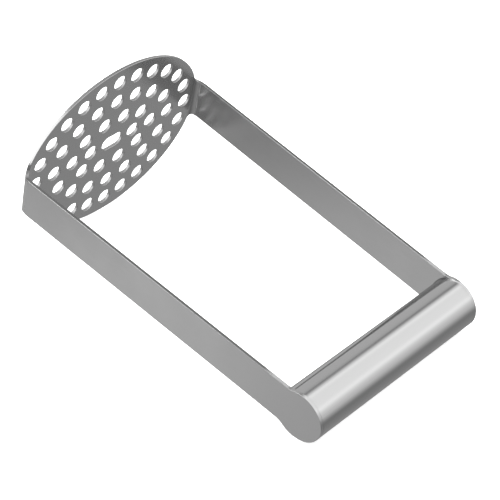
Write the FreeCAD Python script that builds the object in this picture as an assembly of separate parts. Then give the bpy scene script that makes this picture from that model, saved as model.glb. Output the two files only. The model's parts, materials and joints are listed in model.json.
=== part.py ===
"""Potato masher with a perforated pressing plate, two strap arms and a hollow bar handle.

One stainless steel blank is punched, bent and welded to one tube:
  masher_head   oval perforated plate, two arms bent up from it, and a round end on each arm
  handle_tube   hollow bar that the cook holds, set between the two round ends
  weld_left     filler metal in the groove between the tube and the left round end
  weld_right    the same on the right

Everything is first modelled in the head's own frame: +X across the arms, +Y from the handle to the plate,
+Z along the plate, with the origin at the middle of the plate's inner face. The finished pieces are then laid
down as the masher lies on a table, resting on the plate's rim and on the round ends, with the table at z = 0.
"""

import FreeCAD, Part
import math
import os

Vector = FreeCAD.Vector

# Driving dimensions, in millimetres and degrees.
SHEET = 1.4              # thickness of the stainless sheet
HEAD_WIDTH = 100.0       # across the outer faces of the arms, level with the plate
END_WIDTH = 93.25        # across the outer faces of the arms, level with the handle's axis
REACH = 148.7            # from the plate's inner face to the handle's axis
BEND_RADIUS = 4.2        # outside radius of the two bends

PLATE_LONG = 97.8        # oval plate, along X
PLATE_SHORT = 77.4       # oval plate, along Z
ARM_WIDTH = 18.4
ARM_DROP = 0.75          # the arms' middle line lies this far below the plate's
NECK_FILLET = 3.0        # inside corner between the plate's rim and an arm's edge
END_RADIUS = 11.2        # round end of an arm, a little larger than the tube
END_FILLET = 8.0         # inside corner between an arm's edge and its round end
HANDLE_DROP = 1.25       # the handle's axis and the round ends lie this far below the plate's middle line

HOLE_DIAMETER = 6.6
RING_STEP = 10.15        # each ring of holes is this much outside the last
FIRST_RING_X = 11.85     # the row at the centre reaches this far along X
FIRST_RING_Z = 1.35
RING_COUNTS = (10, 16, 24)
SLOT_LENGTH = 11.5       # the slot at the centre, end to end

TUBE_DIAMETER = 21.3
TUBE_WALL = 1.2
WELD_DEPTH = 0.8         # groove at each end of the tube, filled by the weld

PAST = 20.0              # how far a cutting shape runs past what it cuts
TOUCH = 1e-6             # two places nearer than this are one place
TUBE_RADIUS = TUBE_DIAMETER / 2
END_REACH = REACH - (END_RADIUS - TUBE_RADIUS)  # flush with the tube on the side away from the plate


def outer_face_x(y):
    """Half the width across the arms' outer faces at height y: the arms lean in towards the handle."""
    return HEAD_WIDTH / 2 + (HEAD_WIDTH - END_WIDTH) / 2 * y / REACH


def prism(points, direction):
    """Solid with a polygon as its base, drawn out along a direction."""
    outline = Part.makePolygon([Vector(*p) for p in points + points[:1]])
    return Part.Face(outline).extrude(Vector(*direction))


def box(low, high):
    """Box between two opposite corners."""
    size = [b - a for a, b in zip(low, high)]
    return Part.makeBox(*size, Vector(*low))


def round_edges(shape, radius, chosen):
    """The shape with a fillet on each edge that the test picks."""
    return shape.makeFillet(radius, [edge for edge in shape.Edges if chosen(edge)])


def is_straight_along(edge, axis):
    """True for an edge whose two ends lie on a line with the given direction."""
    span = edge.lastVertex().Point.sub(edge.firstVertex().Point)
    return span.Length > TOUCH and abs(span.dot(Vector(*axis))) > span.Length - TOUCH


def bent_sheet():
    """The sheet bent to a U and still as tall as the plate: its base is the plate and its legs are the arms."""
    lean = math.atan2((HEAD_WIDTH - END_WIDTH) / 2, REACH)
    thickness_x = SHEET / math.cos(lean)
    foot = -REACH - PAST
    half_height = PLATE_SHORT / 2 + PAST
    outside = [(outer_face_x(y), y) for y in (foot, SHEET)]
    inside = [(outer_face_x(y) - thickness_x, y) for y in (0.0, foot)]
    right = outside + [(-x, y) for x, y in reversed(outside)]
    left = [(-x, y) for x, y in reversed(inside)] + inside
    # The outline goes up the right leg, over to the left leg's foot, and back along the inner faces.
    section = [(x, y, -half_height) for x, y in right + left]
    sheet = prism(section, (0, 0, 2 * half_height))
    top = lambda edge: is_straight_along(edge, (0, 0, 1)) and edge.CenterOfMass.y > SHEET / 2
    sheet = round_edges(sheet, BEND_RADIUS, top)
    under = lambda edge: is_straight_along(edge, (0, 0, 1)) and abs(edge.CenterOfMass.y) < TOUCH
    return round_edges(sheet, BEND_RADIUS - SHEET, under)


def plate_outline():
    """Tall solid with the outline of the oval plate and of the arms that leave it, seen along Y.

    The arms are wide boxes here, so only the four corners where they meet the oval are rounded.
    """
    low = -PAST / 2
    oval = Part.Ellipse(Vector(PLATE_LONG / 2, low, 0), Vector(0, low, PLATE_SHORT / 2), Vector(0, low, 0))
    plate = Part.Face(Part.Wire(oval.toShape())).extrude(Vector(0, PAST, 0))
    reach_x = HEAD_WIDTH / 2 + PAST
    arms = box((-reach_x, low, -ARM_WIDTH / 2 - ARM_DROP), (reach_x, low + PAST, ARM_WIDTH / 2 - ARM_DROP))
    outline = plate.fuse(arms).removeSplitter()
    corner = lambda edge: (is_straight_along(edge, (0, 1, 0))
                           and abs(edge.CenterOfMass.x) < HEAD_WIDTH / 2)
    return round_edges(outline, NECK_FILLET, corner)


def arm_outline():
    """Wide solid with the outline of an arm and its round end, seen along X."""
    reach_x = HEAD_WIDTH / 2 + PAST
    strap = box((-reach_x, -END_REACH, -ARM_WIDTH / 2 - ARM_DROP), (reach_x, -PAST / 4, ARM_WIDTH / 2 - ARM_DROP))
    disc = Part.makeCylinder(END_RADIUS, 2 * reach_x, Vector(-reach_x, -END_REACH, -HANDLE_DROP), Vector(1, 0, 0))
    outline = strap.fuse(disc).removeSplitter()
    corner = lambda edge: (is_straight_along(edge, (1, 0, 0))
                           and -END_REACH + 1 < edge.CenterOfMass.y < -END_REACH + 2 * END_RADIUS)
    return round_edges(outline, END_FILLET, corner)


def hole_centres():
    """Centres of the round holes: two beside the slot, then rings of holes evenly spaced along ovals."""
    centres = [(FIRST_RING_X, 0.0), (-FIRST_RING_X, 0.0)]
    for ring, count in enumerate(RING_COUNTS, start=1):
        grow = ring * RING_STEP
        oval = Part.Ellipse(Vector(FIRST_RING_X + grow, 0, 0), Vector(0, FIRST_RING_Z + grow, 0), Vector(0, 0, 0))
        points = oval.toShape().discretize(Number=count + 1)[:-1]
        centres += [(p.x, p.y) for p in points]
    return centres


def hole_punches():
    """One cutting pin for each round hole, and the pin for the slot at the centre."""
    radius = HOLE_DIAMETER / 2
    start = -SHEET
    length = 3 * SHEET
    along = Vector(0, 1, 0)
    pins = [Part.makeCylinder(radius, length, Vector(x, start, z), along) for x, z in hole_centres()]
    half = (SLOT_LENGTH - HOLE_DIAMETER) / 2
    middle = box((-half, start, -radius), (half, start + length, radius))
    ends = [Part.makeCylinder(radius, length, Vector(x, start, 0), along) for x in (-half, half)]
    return pins + [middle.fuse(ends).removeSplitter()]


def masher_head():
    """The pressed blank: perforated plate, two bends, two arms and two round ends in one piece of sheet."""
    outline = plate_outline().fuse(arm_outline())
    blank = bent_sheet().common(outline)
    return blank.cut(hole_punches()).removeSplitter().Solids[0]


def inner_space():
    """The space between the inner faces of the two arms, for trimming the tube and the welds to them."""
    lean = math.atan2((HEAD_WIDTH - END_WIDTH) / 2, REACH)
    edge = [(outer_face_x(y) - SHEET / math.cos(lean), y) for y in (-REACH - PAST, -REACH + PAST)]
    section = edge + [(-x, y) for x, y in reversed(edge)]
    return prism([(x, y, -PAST) for x, y in section], (0, 0, 2 * PAST))


def weld_bead(side):
    """Ring of filler metal, ground flush, in the groove at one end of the tube: side is -1 or +1."""
    inner_x = outer_face_x(-REACH) - SHEET
    root = inner_x - WELD_DEPTH
    beyond = inner_x + WELD_DEPTH
    deep = TUBE_RADIUS - 2 * WELD_DEPTH
    corners = [(side * root, TUBE_RADIUS), (side * beyond, TUBE_RADIUS), (side * beyond, deep)]
    outline = Part.makePolygon([Vector(x, -REACH + r, -HANDLE_DROP) for x, r in corners + corners[:1]])
    ring = Part.Face(outline).revolve(Vector(0, -REACH, -HANDLE_DROP), Vector(1, 0, 0), 360)
    return Part.makeSolid(ring.Shells[0]).common(inner_space()).Solids[0]


def handle_tube(beads):
    """Hollow bar between the round ends, with its end grooves taken out where the welds sit."""
    start = Vector(-HEAD_WIDTH / 2, -REACH, -HANDLE_DROP)
    along = Vector(1, 0, 0)
    outside = Part.makeCylinder(TUBE_RADIUS, HEAD_WIDTH, start, along)
    bore = Part.makeCylinder(TUBE_RADIUS - TUBE_WALL, HEAD_WIDTH, start, along)
    return outside.cut(bore).common(inner_space()).cut(beads).Solids[0]


def lie_angle():
    """Tilt at which the plate's rim and the round ends both touch the table, from their sizes."""
    rim = PLATE_SHORT / 2 - HANDLE_DROP
    return math.acos(END_RADIUS / math.hypot(rim, END_REACH)) - math.atan2(END_REACH, rim)


def lay_down(pieces):
    """Turns the pieces to how the masher lies, with the table at z = 0 and the origin under its middle."""
    laid = {}
    for name, shape in pieces.items():
        laid[name] = shape.copy()
        laid[name].rotate(Vector(0, 0, 0), Vector(1, 0, 0), math.degrees(lie_angle()))
    box_all = Part.makeCompound(list(laid.values())).optimalBoundingBox(False, False)
    centre = box_all.Center
    for shape in laid.values():
        shape.translate(Vector(-centre.x, -centre.y, -box_all.ZMin))
    return laid


def build():
    """All the pieces, by node name, in the frame of the masher lying on a table."""
    welds = {"weld_left": weld_bead(-1), "weld_right": weld_bead(+1)}
    pieces = {"masher_head": masher_head(), "handle_tube": handle_tube(list(welds.values())), **welds}
    return lay_down(pieces)


os.makedirs("parts", exist_ok=True)
for node, solid in build().items():
    solid.exportStep("parts/" + node + ".step")
    extent = solid.BoundBox
    print(node, solid.isValid(), "volume", round(solid.Volume, 1), "mm3",
          "x", round(extent.XMin, 2), round(extent.XMax, 2),
          "y", round(extent.YMin, 2), round(extent.YMax, 2),
          "z", round(extent.ZMin, 2), round(extent.ZMax, 2))
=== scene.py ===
"""Looks of the potato masher: stainless sheet head, bar handle and ground welds, on a pale table.

Every length is in metres. Shapes are worked out in the head's own frame, as the maker's drawing has it:
+X across the arms, +Y from the handle to the plate, +Z along the plate, origin at the middle of the
plate's inner face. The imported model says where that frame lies.
"""

import json
import logging
import math
from dataclasses import dataclass, field
from enum import Enum

import bpy
import numpy as np
from mathutils import Matrix, Vector
from mathutils.geometry import delaunay_2d_cdt


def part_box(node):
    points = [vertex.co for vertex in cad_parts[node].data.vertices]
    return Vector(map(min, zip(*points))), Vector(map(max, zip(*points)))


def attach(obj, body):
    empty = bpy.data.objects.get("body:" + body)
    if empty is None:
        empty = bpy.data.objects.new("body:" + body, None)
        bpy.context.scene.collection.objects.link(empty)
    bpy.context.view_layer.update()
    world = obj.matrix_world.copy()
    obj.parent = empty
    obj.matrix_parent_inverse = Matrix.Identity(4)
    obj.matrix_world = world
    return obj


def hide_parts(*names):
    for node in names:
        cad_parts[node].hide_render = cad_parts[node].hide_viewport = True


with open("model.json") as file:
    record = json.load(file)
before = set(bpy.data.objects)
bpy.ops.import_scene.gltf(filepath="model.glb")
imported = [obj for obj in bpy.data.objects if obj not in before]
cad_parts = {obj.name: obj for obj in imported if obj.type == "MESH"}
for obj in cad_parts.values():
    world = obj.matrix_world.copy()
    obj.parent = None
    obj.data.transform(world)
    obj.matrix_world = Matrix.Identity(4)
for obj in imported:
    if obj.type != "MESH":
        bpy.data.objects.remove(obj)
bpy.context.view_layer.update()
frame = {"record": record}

LOG = logging.getLogger("masher")
MM = 0.001
SAME_POINT = 1e-6        # points nearer than this are made one, in metres
SAME_FLAT_POINT = 1e-7   # the same on the flat sheet while it is triangulated, in millimetres
SLANT = math.sqrt(0.5)   # each part of a direction halfway between two axes
BLOCKS = 40              # long tables of distances are worked out in this many parts
MAP_NAME = "sheet"       # the map of every piece's flat places
# per-point shares of the cut edges' rough look and of their dark colour, which on the holes' walls is
# painted shade
CUT_SHARES = ("rough_cut", "cut_tone_and_hole_shade")


# -------------------------------------------------------------------------------------------------
# The drawing: sizes shared by the pieces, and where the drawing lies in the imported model
# -------------------------------------------------------------------------------------------------


@dataclass(frozen=True)
class Drawing:
    """Driving sizes of the masher, in metres."""

    sheet: float = 1.4 * MM
    head_width: float = 100.0 * MM
    end_width: float = 93.25 * MM
    bend_radius: float = 4.2 * MM
    plate_long: float = 97.8 * MM
    plate_short: float = 77.4 * MM
    arm_width: float = 18.4 * MM
    arm_drop: float = 0.75 * MM
    neck_fillet: float = 3.0 * MM
    end_radius: float = 11.2 * MM
    end_fillet: float = 8.0 * MM
    handle_drop: float = 1.25 * MM
    edge_round: float = 0.16 * MM
    end_round: float = 0.10 * MM
    hole_diameter: float = 6.6 * MM
    ring_step: float = 10.15 * MM
    first_ring: tuple[float, float] = (11.85 * MM, 1.35 * MM)
    ring_counts: tuple[int, ...] = (10, 16, 24)
    slot_length: float = 11.5 * MM
    tube_wall: float = 1.2 * MM
    weld_depth: float = 0.8 * MM


@dataclass(frozen=True)
class Placement:
    """Where the drawing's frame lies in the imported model, read from the model itself."""

    origin: np.ndarray
    turn: np.ndarray
    reach: float
    tube_radius: float

    @classmethod
    def from_frame(cls, drawing: Drawing) -> "Placement":
        """Reads the tilt from the pressing face and the handle's axis from its box.

        The plate's normal n is the mount's axis. The reach is the distance along n from the handle's
        axis to the pressing face, less the sheet's thickness. The origin is one reach along n from the
        handle's axis, and the handle's drop along Z.

        Args:
            drawing: the masher's sizes.

        Returns:
            The placement of the drawing's frame.
        """
        mount = frame["record"]["mounts"][0]
        normal = np.array(mount["axis"], float)
        normal /= np.linalg.norm(normal)
        across = np.array([1.0, 0.0, 0.0])
        turn = np.stack([across, normal, np.cross(across, normal)], axis=1)
        low, high = (np.array(corner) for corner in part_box("handle_tube"))
        axis_point = (low + high) / 2
        reach = (np.array(mount["pos_m"]) - axis_point) @ normal - drawing.sheet
        origin = axis_point + reach * normal + drawing.handle_drop * turn[:, 2]
        return cls(origin, turn, float(reach), float(high[2] - low[2]) / 2)

    def place(self, points: np.ndarray) -> np.ndarray:
        """The drawing's points, one a row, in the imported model's frame."""
        return points @ self.turn.T + self.origin

    def point_along(self, directions: np.ndarray) -> np.ndarray:
        """The drawing's directions, one a row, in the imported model's frame."""
        return directions @ self.turn.T


# -------------------------------------------------------------------------------------------------
# Mesh building with numpy
# -------------------------------------------------------------------------------------------------


@dataclass
class Patch:
    """Points, normals, faces and per-point values of part of a surface, as arrays.

    A patch with sheared edges also has, for each point, its shares of the rough look and of the dark tone
    of a cut.
    On the holes' walls the dark share is painted shade.
    """

    points: np.ndarray
    normals: np.ndarray
    faces: list[np.ndarray]
    flat: np.ndarray
    cut: np.ndarray | None = None

    def laid(self, place: Placement) -> "Patch":
        """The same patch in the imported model's frame."""
        points, normals = place.place(self.points), place.point_along(self.normals)
        return Patch(points, normals, self.faces, self.flat, self.cut)


def joined(patches: list[Patch]) -> Patch:
    """One patch from several, with the face indices moved up to match.

    Args:
        patches: the patches to join, each with its shares of the cut looks.

    Returns:
        The joined patch, whose faces are the patches' faces in order.
    """
    starts = np.cumsum([0] + [len(p.points) for p in patches[:-1]])
    faces = [block + start for p, start in zip(patches, starts) for block in p.faces]
    points, normals, flat, cut = (np.concatenate([getattr(p, part) for p in patches])
                                  for part in ("points", "normals", "flat", "cut"))
    return Patch(points, normals, faces, flat, cut)


def grid_faces(rows: int, columns: int, wrap_rows: bool, wrap_columns: bool) -> np.ndarray:
    """Quads of a grid of points numbered row by row.

    Cell (i, j) joins point (i, j), (i+1, j), (i+1, j+1) and (i, j+1), counted round where the grid is
    closed.

    Args:
        rows: number of rows of points.
        columns: points in a row.
        wrap_rows: whether the last row joins the first.
        wrap_columns: whether each row is closed.

    Returns:
        Four point numbers for each quad.
    """
    i = np.arange(rows if wrap_rows else rows - 1)[:, None]
    j = np.arange(columns if wrap_columns else columns - 1)[None, :]
    below, beside = (i + 1) % rows, (j + 1) % columns
    corners = [i * columns + j, below * columns + j, below * columns + beside, i * columns + beside]
    cells = (len(i), j.shape[1])
    return np.stack([np.broadcast_to(c, cells) for c in corners], axis=-1).reshape(-1, 4)


def facing_out(corners: np.ndarray, normals: np.ndarray, block: np.ndarray) -> np.ndarray:
    """The faces, with the corners of those that look inwards taken the other way round.

    A face's own direction is the cross product of its two diagonals, or of two of its sides in a
    triangle. It looks inwards where that points against the mean of its corners' normals.

    Args:
        corners: the corners' places, face by face.
        normals: the corners' outward normals, face by face.
        block: the faces' point numbers.

    Returns:
        The point numbers, in an order that makes every face look outwards.
    """
    across = corners[:, 2] - corners[:, 0]
    if block.shape[1] == 4:
        own = np.cross(across, corners[:, 3] - corners[:, 1])
    else:
        own = np.cross(corners[:, 1] - corners[:, 0], across)
    inwards = np.sum(own * normals.mean(axis=1), axis=1) < 0
    return np.where(inwards[:, None], block[:, ::-1], block)


def make_piece(name: str, patch: Patch) -> bpy.types.Object:
    """A mesh object from a patch, with the patch's own normals and its flat places as a UV map.

    Args:
        name: the piece's name.
        patch: the surface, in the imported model's frame.

    Returns:
        The new object, at the origin.
    """
    keys = np.round(patch.points / SAME_POINT).astype(np.int64)
    _, first, number = np.unique(keys, axis=0, return_index=True, return_inverse=True)
    faces = [facing_out(patch.points[block], patch.normals[block], block) for block in patch.faces]
    sizes = np.concatenate([np.full(len(block), block.shape[1]) for block in faces])
    starts = np.concatenate([[0], np.cumsum(sizes)[:-1]])
    source = np.concatenate([block.reshape(-1) for block in faces])
    loops = number.reshape(-1)[source]
    mesh = bpy.data.meshes.new(name)
    mesh.vertices.add(len(first))
    mesh.vertices.foreach_set("co", patch.points[first].astype(np.float32).ravel())
    mesh.loops.add(len(loops))
    mesh.loops.foreach_set("vertex_index", loops.astype(np.int32))
    mesh.polygons.add(len(sizes))
    mesh.polygons.foreach_set("loop_start", starts.astype(np.int32))
    uv = mesh.uv_layers.new(name=MAP_NAME)
    uv.data.foreach_set("uv", patch.flat[source].astype(np.float32).ravel())
    if patch.cut is not None:
        for name_of_share, shares in zip(CUT_SHARES, patch.cut[first].T):
            share = mesh.attributes.new(name_of_share, "FLOAT", "POINT")
            share.data.foreach_set("value", shares.astype(np.float32))
    mesh.update(calc_edges=True)
    mesh.validate(clean_customdata=False)
    mesh.shade_smooth()
    mesh.normals_split_custom_set(patch.normals[source].astype(np.float32))
    piece = bpy.data.objects.new(name, mesh)
    bpy.context.scene.collection.objects.link(piece)
    return piece


def arc(centre: tuple[float, float], radius: float, start: float, end: float,
        step: float) -> np.ndarray:
    """Points on an arc: centre + radius (cos a, sin a), with a going from start to end.

    Args:
        centre: the arc's centre.
        radius: its radius.
        start: first angle, in radians.
        end: last angle, in radians.
        step: longest distance between neighbours.

    Returns:
        The points, one a row.
    """
    count = max(3, int(math.ceil(abs(end - start) * radius / step)) + 1)
    angle = np.linspace(start, end, count)
    return np.array(centre) + radius * np.stack([np.cos(angle), np.sin(angle)], axis=1)


def even_points(outline: np.ndarray, count: int) -> np.ndarray:
    """Points evenly spaced by distance along a closed outline, starting at its first point.

    Args:
        outline: points of the outline, close together, with the last one joined to the first.
        count: how many points to return.

    Returns:
        The evenly spaced points.
    """
    closed = np.vstack([outline, outline[:1]])
    along = np.concatenate([[0], np.cumsum(np.hypot(*np.diff(closed, axis=0).T))])
    wanted = np.arange(count) * along[-1] / count
    return np.stack([np.interp(wanted, along, closed[:, k]) for k in (0, 1)], axis=1)


def inward_normals(loop: np.ndarray, material_inside: bool) -> np.ndarray:
    """Unit directions from a closed loop's points into the sheet.

    The loop runs counterclockwise, so its left side is inside it: the tangent at a point is the
    direction between its two neighbours, and the left normal is the tangent turned by a quarter turn.

    Args:
        loop: the loop's points, counterclockwise.
        material_inside: True for the sheet's outline, False for a hole.

    Returns:
        One unit direction for each point.
    """
    tangent = np.roll(loop, -1, axis=0) - np.roll(loop, 1, axis=0)
    tangent /= np.hypot(*tangent.T)[:, None]
    left = np.stack([-tangent[:, 1], tangent[:, 0]], axis=1)
    return left if material_inside else -left


# -------------------------------------------------------------------------------------------------
# The head: one sheet, drawn flat and then bent
# -------------------------------------------------------------------------------------------------


@dataclass
class SheetHead:
    """The pressed blank: outline and holes drawn flat, rounded at every cut edge, and bent to a U.

    The rim's and the holes' shares are the plate's shares of the rough look and of the dark tone of a cut
    edge. On the holes' walls the dark share is painted shade, standing in for the shade inside the holes.
    """

    drawing: Drawing
    place: Placement
    outline_step: float = 0.6 * MM
    straight_steps: int = 4       # outline steps between points on a straight edge
    oval_points: int = 2000       # points of an oval along which holes are spaced
    hole_points: int = 48
    fill_step: float = 2.4 * MM
    fill_clear: float = 0.45      # shortest gap from a cut edge to a point of the grid, in fill steps
    bend_steps: int = 14
    bend_row_points: int = 9
    bend_row_reach: float = 0.97  # share of the sheet's width that a row in a bend takes up
    round_steps: int = 4
    halvings: int = 50            # of the interval in which the neck's angle is sought
    rim_shares: tuple[float, float] = (0.15, 0.45)
    # the holes' dark share is painted shade on their walls, standing in for the shade inside the holes
    hole_shares: tuple[float, float] = (1.0, 0.4)
    end_dark: float = 0.17        # dark share on the polished round ends' edges
    wall_power: int = 6           # how fast a cut's look fades round its rounded edges
    lean: float = field(init=False)
    bend_x: float = field(init=False)
    bend_length: float = field(init=False)
    disc_s: float = field(init=False)

    def __post_init__(self) -> None:
        """Works out where on the flat sheet the bends and the round ends lie.

        The right arm's outer face passes through (head_width / 2, 0) and leans in by the angle whose
        tangent is half the difference of the two widths over the reach. The bend's centre is one bend
        radius inside both outer faces. The sheet keeps its length at mid thickness. The round ends are
        flush with the tube on the side away from the plate, so their centres lie nearer to the plate by
        the difference of the two radii.
        """
        d = self.drawing
        self.lean = math.atan2((d.head_width - d.end_width) / 2, self.place.reach)
        centre_y = d.sheet - d.bend_radius
        mid_radius = d.bend_radius - d.sheet / 2
        from_side = (d.bend_radius - centre_y * math.sin(self.lean)) / math.cos(self.lean)
        self.bend_x = d.head_width / 2 - from_side
        self.bend_length = mid_radius * (math.pi / 2 + self.lean)
        end_reach = self.place.reach - (d.end_radius - self.place.tube_radius)
        run = end_reach + centre_y - mid_radius * math.sin(self.lean)
        self.disc_s = self.bend_x + self.bend_length + run / math.cos(self.lean)

    def bent(self, s: np.ndarray, z: np.ndarray,
             depth: np.ndarray) -> tuple[np.ndarray, np.ndarray, np.ndarray]:
        """Carries places on the flat sheet to the bent sheet.

        On the plate a place (s, z, depth) stays where it is: x = s, y = depth. In a bend it turns about
        the bend's centre by the angle (s - bend_x) / mid radius, at the radius inner radius + depth. On
        an arm it runs on in the direction that the bend ends in. Negative s is the mirror image.

        Args:
            s: distance along the sheet from the middle of the plate.
            z: distance across it.
            depth: 0 on the inner face to the sheet's thickness on the outer face.

        Returns:
            The points, the unit directions of growing s, and the unit directions of growing depth.
        """
        d = self.drawing
        side, run = np.sign(s) + (s == 0), np.abs(s)
        mid_radius = d.bend_radius - d.sheet / 2
        full = math.pi / 2 + self.lean
        turn = np.clip((run - self.bend_x) / mid_radius, 0, full)
        radius = d.bend_radius - d.sheet + depth
        before = np.minimum(run, self.bend_x)
        after = np.maximum(run - self.bend_x - self.bend_length, 0)
        x = before + radius * np.sin(turn) + after * np.cos(turn)
        y = d.sheet - d.bend_radius + radius * np.cos(turn) - after * np.sin(turn)
        zero = np.zeros_like(turn)
        along = np.stack([np.cos(turn), -side * np.sin(turn), zero], axis=-1)
        outward = np.stack([side * np.sin(turn), np.cos(turn), zero], axis=-1)
        return np.stack([side * x, y, z + zero], axis=-1), along, outward

    def neck(self, edge_z: float) -> tuple[np.ndarray, float]:
        """The fillet between the plate's oval and an arm's edge, in the corner with s and z both positive.

        Its centre is one fillet radius outside the arm's edge and one outside the oval. That centre
        lies on the oval's offset curve, P(a) + radius n(a), and the angle a is found by halving an
        interval.

        Args:
            edge_z: how far the arm's edge lies above the plate's middle line.

        Returns:
            The fillet's centre, and the angle a on the oval where it starts.
        """
        d = self.drawing
        half = np.array([d.plate_long / 2, d.plate_short / 2])

        def centre_at(a: float) -> np.ndarray:
            """The point one fillet radius outside the oval at angle a."""
            unit = np.array([math.cos(a), math.sin(a)])
            normal = unit / half
            return half * unit + d.neck_fillet * normal / np.hypot(*normal)

        wanted = edge_z + d.neck_fillet
        low, high = 0.0, math.pi / 2
        for _ in range(self.halvings):
            middle = (low + high) / 2
            low, high = (middle, high) if centre_at(middle)[1] < wanted else (low, middle)
        return centre_at(low), low

    def quarter_outline(self, edge_z: float, centre_z: float) -> np.ndarray:
        """The outline from the tip of the right arm round to the middle of the plate's upper edge.

        It is made of the round end's arc, the end fillet, the arm's straight edge, the neck fillet and
        the oval, each tangent to the next.

        Args:
            edge_z: how far the arm's edge lies above the plate's middle line.
            centre_z: how far the round end's centre lies above it.

        Returns:
            Points (s, z), with s falling and z growing on the whole.
        """
        d, step = self.drawing, self.outline_step
        r, f = d.end_radius, d.end_fillet
        rise = edge_z + f - centre_z
        back = math.sqrt((r + f) ** 2 - rise**2)
        meet = math.atan2(rise, -back)
        disc = arc((self.disc_s, centre_z), r, 0.0, meet, step)
        end_fillet = arc((self.disc_s - back, edge_z + f), f, meet - math.pi, -math.pi / 2, step)
        centre, a0 = self.neck(edge_z)
        half = np.array([d.plate_long / 2, d.plate_short / 2])
        touch = half * np.array([math.cos(a0), math.sin(a0)])
        towards = touch - centre
        end_angle = -(-math.atan2(towards[1], towards[0]) % (2 * math.pi))
        neck = arc(tuple(centre), d.neck_fillet, -math.pi / 2, end_angle, step)
        straight_count = int((end_fillet[-1, 0] - neck[0, 0]) / (self.straight_steps * step))
        run = np.linspace(end_fillet[-1, 0], neck[0, 0], straight_count)
        straight = np.stack([run, np.full(straight_count, edge_z)], axis=1)
        steps = int(math.ceil((math.pi / 2 - a0) * half[0] / step))
        a = np.linspace(a0, math.pi / 2, steps)
        oval = half * np.stack([np.cos(a), np.sin(a)], axis=1)
        return np.vstack([disc, end_fillet[1:], straight[1:], neck[1:], oval[1:]])

    def outline(self) -> np.ndarray:
        """The closed outline, counterclockwise: an upper and a lower half, each of two like quarters."""
        d = self.drawing
        quarters = [self.quarter_outline(d.arm_width / 2 + side * d.arm_drop, side * d.handle_drop)
                    for side in (-1, 1)]
        upper, lower = (np.vstack([q, (q[:-1] * (-1, 1))[::-1]]) for q in quarters)
        return np.vstack([upper, (lower[1:-1] * (1, -1))[::-1]])

    def hole_loops(self) -> list[np.ndarray]:
        """The outlines of the holes, counterclockwise: the slot, the two holes beside it, and the rings.

        Ring k is an oval whose half axes are the first ring's plus k steps, with its holes evenly
        spaced along it.

        Returns:
            One closed loop of points for each hole.
        """
        d = self.drawing
        radius = d.hole_diameter / 2
        half = (d.slot_length - d.hole_diameter) / 2
        step = 2 * math.pi * radius / self.hole_points
        ends = [arc((side * half, 0.0), radius, a, a + math.pi, step)
                for side, a in ((1, -math.pi / 2), (-1, math.pi / 2))]
        loops = [np.vstack(ends)]
        centres = [np.array([[d.first_ring[0], 0.0], [-d.first_ring[0], 0.0]])]
        fine = np.linspace(0, 2 * math.pi, self.oval_points, endpoint=False)
        unit = np.stack([np.cos(fine), np.sin(fine)], axis=1)
        for k, count in enumerate(d.ring_counts, start=1):
            centres.append(even_points(unit * (np.array(d.first_ring) + k * d.ring_step), count))
        angle = np.linspace(0, 2 * math.pi, self.hole_points, endpoint=False)
        circle = radius * np.stack([np.cos(angle), np.sin(angle)], axis=1)
        return loops + [centre + circle for centre in np.vstack(centres)]

    def sheared(self, s: np.ndarray, plate_share: float) -> np.ndarray:
        """How much of the sheared, unpolished look a cut edge has at a place along the sheet, which on the
        holes' walls also sets their painted shade.

        It is 1 along the arms. It changes as a half cosine, over the bend to the share of the plate's
        rim and holes, and before the round end to 0, because the round ends are polished.

        Args:
            s: distance along the sheet from the middle of the plate.
            plate_share: the share on the plate.

        Returns:
            The share, from 0 to 1, at each place.
        """
        run = np.abs(s)
        d = self.drawing
        rise = np.clip((run - self.bend_x) / self.bend_length, 0, 1)
        on_arm = plate_share + (1 - plate_share) * (1 - np.cos(math.pi * rise)) / 2
        stop = self.disc_s - d.end_radius - d.end_fillet / 2
        fall = np.clip((stop - run) / (d.end_fillet / 2), 0, 1)
        return on_arm * (1 - np.cos(math.pi * fall)) / 2

    def cut_edge(self, loop: np.ndarray, material_inside: bool) -> tuple[Patch, np.ndarray]:
        """The rounded edge along one loop: a profile carried round the loop.

        The profile goes from the inner face round a quarter circle, straight through the sheet, and
        round another quarter circle to the outer face. At profile angle a the place is inset by radius
        (1 - sin a) from the loop and at depth radius (1 - cos a) from its face.

        Args:
            loop: the loop's points, counterclockwise.
            material_inside: True for the outline, False for a hole.

        Returns:
            The patch, and the loop moved in by the rounding, which is where the faces start.
        """
        d = self.drawing
        into = inward_normals(loop, material_inside)
        polished = 1 - self.sheared(loop[:, 0], 1.0)
        e = (d.edge_round + (d.end_round - d.edge_round) * polished)[:, None]
        a = np.linspace(0, math.pi / 2, self.round_steps + 1)[None, :]
        inset = np.concatenate([e * (1 - np.sin(a)), e * (1 - np.sin(a[:, ::-1]))], axis=1)
        w = np.concatenate([e * (1 - np.cos(a)), d.sheet - e * (1 - np.cos(a[:, ::-1]))], axis=1)
        out_part = np.concatenate([np.sin(a), np.sin(a[:, ::-1])], axis=1)
        deep_part = np.concatenate([-np.cos(a), np.cos(a[:, ::-1])], axis=1)
        flat = loop[:, None, :] + into[:, None, :] * inset[..., None]
        s, z = flat[..., 0], flat[..., 1]
        points, along, outward = self.bent(s, z, w)
        sideways = -into[:, None, :] * out_part[..., None]
        normals = sideways[..., :1] * along + outward * deep_part[..., None]
        normals[..., 2] += sideways[..., 1]
        quads = grid_faces(len(loop), inset.shape[1], True, False)
        shares = self.rim_shares if material_inside else self.hole_shares
        on_wall = out_part**self.wall_power
        # the dark share darkens the cut edges' colour; on the holes' walls it is painted shade
        cut = np.stack([self.sheared(s, share) * on_wall for share in shares], axis=-1)
        cut[..., 1] += self.end_dark * polished[:, None] * on_wall
        patch = Patch(points.reshape(-1, 3), normals.reshape(-1, 3), [quads],
                      (flat + w[..., None] * (0.0, 1.0)).reshape(-1, 2), cut.reshape(-1, 2))
        return patch, loop + into * e

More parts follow.
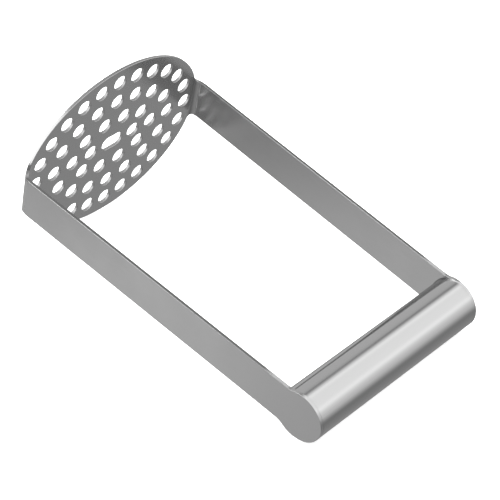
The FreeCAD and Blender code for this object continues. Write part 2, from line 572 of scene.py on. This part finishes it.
    def fill_spots(self, outer: np.ndarray, holes: list[np.ndarray]) -> np.ndarray:
        """Points between the loops: a hexagonal grid, and rows across each bend in place of the grid.

        A grid point is kept where it is clear of every loop and of the bends.

        Args:
            outer: the moved-in outline.
            holes: the moved-in hole loops.

        Returns:
            Places (s, z) on the sheet.
        """
        d, step = self.drawing, self.fill_step
        reach = float(outer[:, 0].max())
        columns = np.arange(-reach, reach, step)
        rows = np.arange(-d.plate_short / 2, d.plate_short / 2, step * math.sqrt(3) / 2)
        s, z = np.meshgrid(columns, rows)
        s = s + (np.arange(len(rows)) % 2)[:, None] * step / 2
        grid = np.stack([s.ravel(), z.ravel()], axis=1)
        cut_points = np.vstack([outer] + holes)
        clear = np.ones(len(grid), bool)
        for block in np.array_split(np.arange(len(grid)), BLOCKS):
            apart = grid[block, None, :] - cut_points[None]
            gap = np.hypot(*apart.transpose(2, 0, 1)).min(axis=1)
            clear[block] = gap > self.fill_clear * step
        from_bend = np.abs(np.abs(grid[:, 0]) - self.bend_x - self.bend_length / 2)
        in_bend = from_bend < self.bend_length / 2 + step / 3
        across = np.linspace(-self.bend_row_reach, self.bend_row_reach, self.bend_row_points)
        spots = [grid[clear & ~in_bend]]
        for side in (-1, 1):
            for k in range(self.bend_steps + 1):
                row_s = side * (self.bend_x + k * self.bend_length / self.bend_steps)
                row_z = across * self.half_height(abs(row_s), outer)
                spots.append(np.stack([np.full(len(across), row_s), row_z], axis=1))
        spots = np.vstack(spots)
        return spots[self.inside(spots, outer, holes)]

    def faces(self, outer: np.ndarray, holes: list[np.ndarray]) -> list[Patch]:
        """The inner and the outer face: one triangulation of the flat sheet, used at both depths.

        The triangles join the moved-in loops and the points between them. The triangulation says which
        of the given points each of its own comes from, so the given ones are used, to their full
        precision.

        Args:
            outer: the moved-in outline.
            holes: the moved-in hole loops.

        Returns:
            The inner face's patch and the outer face's patch.
        """
        edges = []
        start = 0
        for loop in [outer] + holes:
            ring = np.arange(start, start + len(loop))
            edges.append(np.stack([ring, np.roll(ring, -1)], axis=1))
            start += len(loop)
        flat = np.vstack([outer] + holes + [self.fill_spots(outer, holes)])
        _, _, triangles, origins, _, _ = delaunay_2d_cdt(
            [Vector(p) for p in flat / MM], np.vstack(edges).tolist(), [], 0, SAME_FLAT_POINT)
        flat = flat[[points[0] for points in origins]]
        triangles = np.array(triangles)
        middle = flat[triangles].mean(axis=1)
        triangles = triangles[self.inside(middle, outer, holes)]
        uncut = np.zeros((len(flat), len(CUT_SHARES)))
        patches = []
        for depth, sign in ((0.0, -1.0), (self.drawing.sheet, 1.0)):
            points, _, outward = self.bent(flat[:, 0], flat[:, 1], np.full(len(flat), depth))
            patches.append(Patch(points, outward * sign, [triangles], flat, uncut))
        return patches

    def inside(self, spots: np.ndarray, outer: np.ndarray, holes: list[np.ndarray]) -> np.ndarray:
        """Which spots lie on the sheet: inside the outline and outside every hole.

        A spot is inside a loop where a ray along +s crosses the loop an odd number of times.

        Args:
            spots: places (s, z).
            outer: the outline.
            holes: the hole loops.

        Returns:
            True for each spot on the sheet.
        """
        on_sheet = np.zeros(len(spots), bool)
        for block in np.array_split(np.arange(len(spots)), BLOCKS):
            on_sheet[block] = self.crossings(spots[block], outer) % 2 == 1
        for loop in holes:
            centre = loop.mean(axis=0)
            near = np.nonzero(np.hypot(*(spots - centre).T) < self.drawing.slot_length)[0]
            on_sheet[near[self.crossings(spots[near], loop) % 2 == 1]] = False
        return on_sheet

    @staticmethod
    def crossings(spots: np.ndarray, loop: np.ndarray) -> np.ndarray:
        """How often a ray along +s from each spot crosses the loop."""
        a, b = loop[None], np.roll(loop, -1, axis=0)[None]
        s, z = spots[:, :1], spots[:, 1:]
        spans = (a[..., 1] > z) != (b[..., 1] > z)
        rise = np.where(spans, b[..., 1] - a[..., 1], 1.0)
        at = a[..., 0] + (z - a[..., 1]) * (b[..., 0] - a[..., 0]) / rise
        return np.sum(spans & (s < at), axis=1)

    @staticmethod
    def half_height(s: float, outer: np.ndarray) -> float:
        """Half the sheet's width across at a place along it, read off the outline's upper right part."""
        part = outer[(outer[:, 0] > 0) & (outer[:, 1] > 0)]
        order = np.argsort(part[:, 0])
        return float(np.interp(s, part[order, 0], part[order, 1]))

    def build(self) -> bpy.types.Object:
        """Makes the whole head as one closed mesh."""
        outer_edge, outer = self.cut_edge(self.outline(), True)
        cut = [self.cut_edge(loop, False) for loop in self.hole_loops()]
        faces = self.faces(outer, [loop for _, loop in cut])
        patch = joined([outer_edge] + [edge for edge, _ in cut] + faces)
        return make_piece("sheet_head", patch.laid(self.place))


# -------------------------------------------------------------------------------------------------
# The handle
# -------------------------------------------------------------------------------------------------


def runs(*lengths: int) -> list[slice]:
    """Slices of the given lengths, each starting where the last one ends."""
    ends = np.cumsum(lengths).tolist()
    return [slice(end - length, end) for length, end in zip(lengths, ends)]


@dataclass
class BarHandle:
    """The hollow bar between the round ends, with a groove at each end for the weld, and the welds."""

    drawing: Drawing
    place: Placement
    around: int = 160
    along_steps: int = 24
    weld_steps: int = 5

    def end_x(self, rise: np.ndarray) -> np.ndarray:
        """Half the width between the arms' inner faces, this far from the handle towards the plate."""
        d = self.drawing
        slope = (d.head_width - d.end_width) / 2 / self.place.reach
        lean = math.atan(slope)
        return d.end_width / 2 - d.sheet / math.cos(lean) + slope * rise

    def revolved(self, profile: np.ndarray, flat_normals: np.ndarray, groups: list[slice]) -> Patch:
        """Carries a profile round the handle's axis, between the leaning ends.

        Row i, point j lies at angle a_j, which is 0 towards the plate, at the distance radius + flare
        from the axis. The flare fades to nothing on the side away from the plate. The point's x is the
        profile's share of the way from one end to the other at that height, less the inset, so both
        ends follow the arms' lean.

        Args:
            profile: rows of (side, inset, radius, flare), where side runs from -1 at the left end to 1
                at the right.
            flat_normals: rows of (along x, outwards) parts of the profile's normals.
            groups: runs of profile rows that share smooth normals.

        Returns:
            The patch in the drawing's frame.
        """
        angle = np.linspace(0, 2 * math.pi, self.around, endpoint=False)
        side, inset, radius, flare = (profile[:, k][:, None] for k in range(4))
        out = radius + flare * (1 + np.minimum(np.cos(angle), 0))
        y, z = out * np.cos(angle), out * np.sin(angle)
        x = side * (self.end_x(y) - inset)
        points = np.stack([x, y - self.place.reach, z - self.drawing.handle_drop], axis=-1)
        along, outwards = flat_normals[:, :1], flat_normals[:, 1:]
        normals = np.stack([np.broadcast_to(along, x.shape),
                            outwards * np.cos(angle), outwards * np.sin(angle)], axis=-1)
        faces = [grid_faces(group.stop - group.start, self.around, False, True)
                 + group.start * self.around for group in groups]
        around = np.broadcast_to(angle * self.place.tube_radius, x.shape)
        flat = np.stack([x, around], axis=-1)
        return Patch(points.reshape(-1, 3), normals.reshape(-1, 3), faces, flat.reshape(-1, 2))

    def tube(self) -> bpy.types.Object:
        """The hollow bar: outside, grooves, ends and bore as one closed surface."""
        d, r = self.drawing, self.place.tube_radius
        bore, groove = r - d.tube_wall, d.weld_depth
        outside = np.linspace(-1, 1, self.along_steps)
        rows = [(s, groove, r) for s in outside]
        rows += [(1, groove, r), (1, 0, r - groove), (1, 0, r - groove), (1, 0, bore)]
        rows += [(s, 0, bore) for s in outside[::-1]]
        rows += [(-1, 0, bore), (-1, 0, r - groove), (-1, 0, r - groove), (-1, groove, r)]
        n = len(outside)
        parts = [(0, 1)] * n + [(SLANT, SLANT)] * 2 + [(1, 0)] * 2
        parts += [(0, -1)] * n + [(-1, 0)] * 2 + [(-SLANT, SLANT)] * 2
        profile = np.array([(*row, 0.0) for row in rows])
        patch = self.revolved(profile, np.array(parts, float), runs(n, 2, 2, n, 2, 2))
        return make_piece("bar_handle", patch.laid(self.place))

    def weld(self, side: int) -> bpy.types.Object:
        """The ring of filler in the groove at one end, ground to a slope up to the round end.

        Args:
            side: -1 for the left end, 1 for the right.

        Returns:
            The ring as a closed mesh.
        """
        d, r, depth = self.drawing, self.place.tube_radius, self.drawing.weld_depth
        share = np.linspace(0, 1, self.weld_steps)
        rise = d.end_radius - d.end_round - r
        rows = [(side, depth * (1 - t), r, rise * t) for t in share]
        rows += [(side, 0, r, rise), (side, 0, r - depth, 0)]
        rows += [(side, 0, r - depth, 0), (side, depth, r, 0)]
        n = len(share)
        parts = [(0, 1)] * n + [(side, 0)] * 2 + [(-side * SLANT, -SLANT)] * 2
        patch = self.revolved(np.array(rows, float), np.array(parts, float), runs(n, 2, 2))
        name = "weld_ring_left" if side < 0 else "weld_ring_right"
        return make_piece(name, patch.laid(self.place))


# -------------------------------------------------------------------------------------------------
# Finishes
# -------------------------------------------------------------------------------------------------


class Grain(Enum):
    """Which way a finish was rubbed: how often its pattern repeats along U and along V of the map."""

    ALONG = (1.0, 30.0)
    AROUND = (30.0, 1.0)


@dataclass(frozen=True)
class NodeTree:
    """A node tree with short ways of adding to it."""

    tree: bpy.types.NodeTree

    def add(self, kind: str, inputs: dict[str | int, object], **settings: object) -> bpy.types.Node:
        """Adds a shader node.

        Args:
            kind: the node's type, without the prefix that all shader nodes share.
            inputs: for each input's name or number, the socket that feeds it or the value that it
                holds.
            settings: the node's own properties, which are set before its inputs.

        Returns:
            The new node.
        """
        node = self.tree.nodes.new("ShaderNode" + kind)
        for name, setting in settings.items():
            setattr(node, name, setting)
        for key, term in inputs.items():
            if isinstance(term, bpy.types.NodeSocket):
                self.tree.links.new(term, node.inputs[key])
            else:
                node.inputs[key].default_value = term
        return node

    def value(self, operation: str, *terms: object) -> bpy.types.NodeSocket:
        """The result of a Math node fed with sockets or numbers."""
        return self.add("Math", dict(enumerate(terms)), operation=operation).outputs["Value"]

    def rise(self, socket: bpy.types.NodeSocket, low: float, high: float,
             interpolation: str = "SMOOTHSTEP") -> bpy.types.NodeSocket:
        """A step from 0 where the socket is at low to 1 where it is at high."""
        inputs = {"Value": socket, "From Min": low, "From Max": high}
        return self.add("MapRange", inputs, interpolation_type=interpolation).outputs["Result"]


@dataclass(frozen=True)
class CutFinishAndHoleShade:
    """How a finish looks where the sheet is sheared; its dark colour is also painted shade on the holes'
    walls.
    """

    color: tuple[float, float, float]
    roughness: float


@dataclass(frozen=True)
class Steel:
    """A stainless steel finish."""

    name: str
    color: tuple[float, float, float]
    roughness: float
    roughness_spread: float
    grain: Grain
    grain_scale: float
    grain_height: float
    cut: CutFinishAndHoleShade | None = None
    grain_detail: float = 4.0
    cloud_scale: float = 60.0
    cloud_detail: float = 3.0
    pattern_range: tuple[float, float] = (0.6, 1.4)

    def make(self) -> bpy.types.Material:
        """The material: fine rubbed grain in the piece's own map, and cut edges if it has them, whose dark
        colour is painted shade on the holes' walls.
        """
        material = bpy.data.materials.new(self.name)
        material.use_nodes = True
        tree = NodeTree(material.node_tree)
        shader = tree.tree.nodes["Principled BSDF"]
        shader.inputs["Metallic"].default_value = 1.0
        flat = tree.add("UVMap", {}, uv_map=MAP_NAME).outputs["UV"]
        scale = (*[self.grain_scale * stretch for stretch in self.grain.value], 1.0)
        stretched = tree.add("Mapping", {"Vector": flat, "Scale": scale}).outputs["Vector"]
        grain = tree.add("TexNoise", {"Vector": stretched, "Scale": 1.0, "Detail": self.grain_detail})
        where = tree.add("TexCoord", {}).outputs["Object"]
        inputs = {"Vector": where, "Scale": self.cloud_scale, "Detail": self.cloud_detail}
        cloud = tree.add("TexNoise", inputs)
        rough = tree.add("MapRange", {
            "Value": tree.value("ADD", grain.outputs["Fac"], cloud.outputs["Fac"]),
            "From Min": self.pattern_range[0],
            "From Max": self.pattern_range[1],
            "To Min": self.roughness - self.roughness_spread,
            "To Max": self.roughness + self.roughness_spread,
        }).outputs["Result"]
        if self.cut is None:
            shader.inputs["Base Color"].default_value = (*self.color, 1.0)
        else:
            # the dark cut colour is mixed in by its share; on the holes' walls this is painted shade
            rough_cut, cut_tone_and_hole_shade = (tree.add("Attribute", {}, attribute_name=name).outputs["Fac"]
                                   for name in CUT_SHARES)
            inputs = {"Factor": rough_cut, "A": rough, "B": self.cut.roughness}
            rough = tree.add("Mix", inputs, data_type="FLOAT").outputs["Result"]
            inputs = {"Factor": cut_tone_and_hole_shade, "A": (*self.color, 1.0), "B": (*self.cut.color, 1.0)}
            color = tree.add("Mix", inputs, data_type="RGBA").outputs["Result"]
            tree.tree.links.new(color, shader.inputs["Base Color"])
        tree.tree.links.new(rough, shader.inputs["Roughness"])
        inputs = {"Height": grain.outputs["Fac"], "Strength": 1.0, "Distance": self.grain_height}
        bump = tree.add("Bump", inputs)
        tree.tree.links.new(bump.outputs["Normal"], shader.inputs["Normal"])
        return material


SATIN = Steel(
    name="satin_sheet_steel", color=(0.70, 0.70, 0.70), roughness=0.22, roughness_spread=0.03,
    grain=Grain.ALONG, grain_scale=120.0, grain_height=0.0025 * MM,
    # dark cut colour: the sheared edges' tone, and painted shade on the holes' walls
    cut=CutFinishAndHoleShade(color=(0.22, 0.22, 0.22), roughness=0.45))
POLISHED = Steel(
    name="polished_tube_steel", color=(0.62, 0.62, 0.62), roughness=0.14, roughness_spread=0.02,
    grain=Grain.AROUND, grain_scale=120.0, grain_height=0.001 * MM)
GROUND = Steel(
    name="ground_weld_steel", color=(0.61, 0.61, 0.61), roughness=0.16, roughness_spread=0.03,
    grain=Grain.AROUND, grain_scale=160.0, grain_height=0.001 * MM)


def dress(piece: bpy.types.Object, material: bpy.types.Material, slot: str, *nodes: str) -> None:
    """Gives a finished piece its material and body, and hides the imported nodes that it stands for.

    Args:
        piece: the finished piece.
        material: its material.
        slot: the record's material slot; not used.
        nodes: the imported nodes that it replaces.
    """
    mesh = piece.data
    mesh.materials.append(material)
    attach(piece, "root")
    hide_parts(*nodes)
    LOG.info("%s: %d points, %d faces", piece.name, len(mesh.vertices), len(mesh.polygons))


# -------------------------------------------------------------------------------------------------
# The studio
# -------------------------------------------------------------------------------------------------


@dataclass(frozen=True)
class AreaLight:
    """One soft rectangular light, with its power in watts. Metal shows it if it is mirrored."""

    name: str
    place: tuple[float, float, float]
    aim: tuple[float, float, float]
    size: tuple[float, float]
    power: float
    mirrored: bool

    def add(self) -> None:
        """Puts the light in its place, facing its aim."""
        data = bpy.data.lights.new(self.name, "AREA")
        data.shape = "RECTANGLE"
        data.size, data.size_y = self.size
        data.energy = self.power
        light = bpy.data.objects.new(self.name, data)
        bpy.context.scene.collection.objects.link(light)
        light.location = self.place
        facing = Vector(self.aim) - Vector(self.place)
        light.rotation_euler = facing.to_track_quat("-Z", "Y").to_euler()
        light.visible_glossy = self.mirrored


@dataclass(frozen=True)
class Card:
    """A soft round patch of light in one direction: full inside one angle, none outside another."""

    direction: tuple[float, float, float]
    inner: float
    outer: float
    amount: float


@dataclass(frozen=True)
class Gradient:
    """Brightness by direction: whole + by_x x + by_y y + by_xy x y + by_z z."""

    whole: float
    by_x: float
    by_y: float
    by_xy: float
    by_z: float


@dataclass(frozen=True)
class Studio:
    """Pale table, soft light and the camera, with angles in degrees and the lens in millimetres."""

    camera_azimuth: float = -48.64
    camera_elevation: float = 38.58
    camera_roll: float = 2.31
    camera_distance: float = 0.7517
    camera_aim: tuple[float, float, float] = (0.00074, -0.00304, 0.02411)
    camera_clip: tuple[float, float] = (0.01, 50.0)
    lens: float = 136.6
    sensor: float = 36.0
    table_half: float = 6.0
    table_color: tuple[float, float, float] = (0.92, 0.92, 0.92)
    table_roughness: float = 0.9
    table_glow: float = 0.5
    below: Gradient = Gradient(0.184, 0.04, 0.20, -0.27, -0.15)
    above: tuple[tuple[float, float], ...] = (
        (-110, 0.58), (-45, 0.58), (-34, 0.52), (-27, 0.28), (-22, 0.42), (-16, 0.85), (-6, 1.24),
        (10, 1.12), (40, 1.14), (60, 1.28), (68, 1.12), (75, 0.92), (90, 0.75), (105, 0.55), (120, 0.40))
    left_fall: tuple[float, float] = (-0.60, -0.25)
    left_level: float = 0.45
    horizon: tuple[float, float] = (-0.50, -0.10)
    cards: tuple[Card, ...] = (
        Card((-0.57, 0.555, -0.605), 2.0, 9.5, 0.23),
        Card((-0.63, 0.59, -0.50), 4.5, 8.5, -0.55),
        Card((-0.60, -0.35, -0.72), 8.0, 25.0, 0.10))
    lights: tuple[AreaLight, ...] = (
        AreaLight("overhead", (0.0, 0.0, 1.6), (0.0, 0.0, 0.0), (3.0, 3.0), 80.0, False),
        AreaLight("left_window", (-1.35, 0.85, 1.0), (0.0, 0.0, 0.03), (0.9, 2.2), 12.4, True))

    def add_camera(self) -> None:
        """Places the camera on a sphere round its aim, then rolls it about its own axis."""
        data = bpy.data.cameras.new("camera")
        data.sensor_width = self.sensor
        data.lens = self.lens
        data.clip_start, data.clip_end = self.camera_clip
        camera = bpy.data.objects.new("camera", data)
        bpy.context.scene.collection.objects.link(camera)
        azimuth, elevation = math.radians(self.camera_azimuth), math.radians(self.camera_elevation)
        level = math.cos(elevation)
        back = Vector((math.sin(azimuth) * level, -math.cos(azimuth) * level, math.sin(elevation)))
        roll = Matrix.Rotation(math.radians(self.camera_roll), 3, "Z")
        turn = (-back).to_track_quat("-Z", "Y").to_matrix() @ roll
        place = Vector(self.camera_aim) + back * self.camera_distance
        camera.matrix_world = Matrix.Translation(place) @ turn.to_4x4()
        bpy.context.scene.camera = camera

    def add_table(self) -> None:
        """A wide pale table top under the masher, which glows a little and isn't seen in the metal."""
        mesh = bpy.data.meshes.new("table_top")
        half = self.table_half
        corners = [(-half, -half, 0), (half, -half, 0), (half, half, 0), (-half, half, 0)]
        mesh.from_pydata(corners, [], [(0, 1, 2, 3)])
        table = bpy.data.objects.new("table_top", mesh)
        bpy.context.scene.collection.objects.link(table)
        material = bpy.data.materials.new("pale_table")
        material.use_nodes = True
        shader = material.node_tree.nodes["Principled BSDF"]
        shader.inputs["Base Color"].default_value = (*self.table_color, 1.0)
        shader.inputs["Roughness"].default_value = self.table_roughness
        shader.inputs["Emission Color"].default_value = (1.0, 1.0, 1.0, 1.0)
        shader.inputs["Emission Strength"].default_value = self.table_glow
        mesh.materials.append(material)
        table.visible_glossy = False

    def sky_above(self, tree: NodeTree, x: bpy.types.NodeSocket, y: bpy.types.NodeSocket,
                  z: bpy.types.NodeSocket) -> bpy.types.NodeSocket:
        """The brightness above the horizon.

        It follows the tilt from overhead towards the front, atan2(-y, z), through this class's stops of
        angle and level, and it is dimmer on the left.

        Args:
            tree: the world's nodes.
            x, y, z: the direction's parts to the right, to the back and upwards.

        Returns:
            The brightness.
        """
        tilt = tree.value("ARCTAN2", tree.value("MULTIPLY", y, -1.0), z)
        first, last = (math.radians(self.above[k][0]) for k in (0, -1))
        ramp = tree.add("ValToRGB", {"Fac": tree.rise(tilt, first, last, "LINEAR")})
        ramp.color_ramp.interpolation = "EASE"
        stops = ramp.color_ramp.elements
        while len(stops) < len(self.above):
            stops.new(1.0)
        brightest = max(level for _, level in self.above)
        for stop, (angle, level) in zip(stops, self.above):
            stop.position = (math.radians(angle) - first) / (last - first)
            stop.color = (*[level / brightest] * 3, 1.0)
        left = tree.rise(x, *self.left_fall)
        dimmed = tree.value("MULTIPLY_ADD", left, 1.0 - self.left_level, self.left_level)
        return tree.value("MULTIPLY", tree.value("MULTIPLY", ramp.outputs["Color"], brightest), dimmed)

    def sky_below(self, tree: NodeTree, direction: bpy.types.NodeSocket, x: bpy.types.NodeSocket,
                  y: bpy.types.NodeSocket, z: bpy.types.NodeSocket) -> bpy.types.NodeSocket:
        """The brightness below the horizon: the gradient, and each card's amount in its own direction.

        Args:
            tree: the world's nodes.
            direction: the whole direction.
            x, y, z: its parts to the right, to the back and upwards.

        Returns:
            The brightness.
        """
        level = tree.value("MULTIPLY_ADD", x, self.below.by_x, self.below.whole)
        level = tree.value("MULTIPLY_ADD", y, self.below.by_y, level)
        level = tree.value("MULTIPLY_ADD", tree.value("MULTIPLY", x, y), self.below.by_xy, level)
        level = tree.value("MULTIPLY_ADD", z, self.below.by_z, level)
        for card in self.cards:
            inputs = {0: direction, 1: Vector(card.direction).normalized()}
            facing = tree.add("VectorMath", inputs, operation="DOT_PRODUCT").outputs["Value"]
            edge, middle = (math.cos(math.radians(angle)) for angle in (card.outer, card.inner))
            level = tree.value("MULTIPLY_ADD", tree.rise(facing, edge, middle), card.amount, level)
        return level

    def add_sky(self) -> None:
        """The soft surroundings: above and below pass into each other just under the horizon."""
        world = bpy.data.worlds.new("studio")
        bpy.context.scene.world = world
        world.use_nodes = True
        tree = NodeTree(world.node_tree)
        background = tree.tree.nodes["Background"]
        background.inputs["Color"].default_value = (1.0, 1.0, 1.0, 1.0)
        direction = tree.add("TexCoord", {}).outputs["Generated"]
        split = tree.add("SeparateXYZ", {"Vector": direction})
        x, y, z = (split.outputs[axis] for axis in "XYZ")
        below = self.sky_below(tree, direction, x, y, z)
        above = self.sky_above(tree, x, y, z)
        over = tree.rise(z, *self.horizon)
        strength = tree.value("MULTIPLY_ADD", tree.value("SUBTRACT", above, below), over, below)
        tree.tree.links.new(strength, background.inputs["Strength"])

    def build(self) -> None:
        """Sets up the camera, table and light."""
        self.add_camera()
        self.add_table()
        self.add_sky()
        for light in self.lights:
            light.add()
        bpy.context.scene.view_settings.view_transform = "Standard"


def main() -> None:
    """Builds the masher's pieces in order, then the studio round them."""
    logging.basicConfig(level=logging.INFO, format="%(name)s %(message)s")
    drawing = Drawing()
    place = Placement.from_frame(drawing)
    head = SheetHead(drawing, place)
    dress(head.build(), SATIN.make(), "satin_sheet", "masher_head")
    handle = BarHandle(drawing, place)
    dress(handle.tube(), POLISHED.make(), "polished_tube", "handle_tube")
    ground = GROUND.make()
    dress(handle.weld(-1), ground, "ground_weld", "weld_left")
    dress(handle.weld(1), ground, "ground_weld", "weld_right")
    Studio().build()


if __name__ == "__main__":
    main()
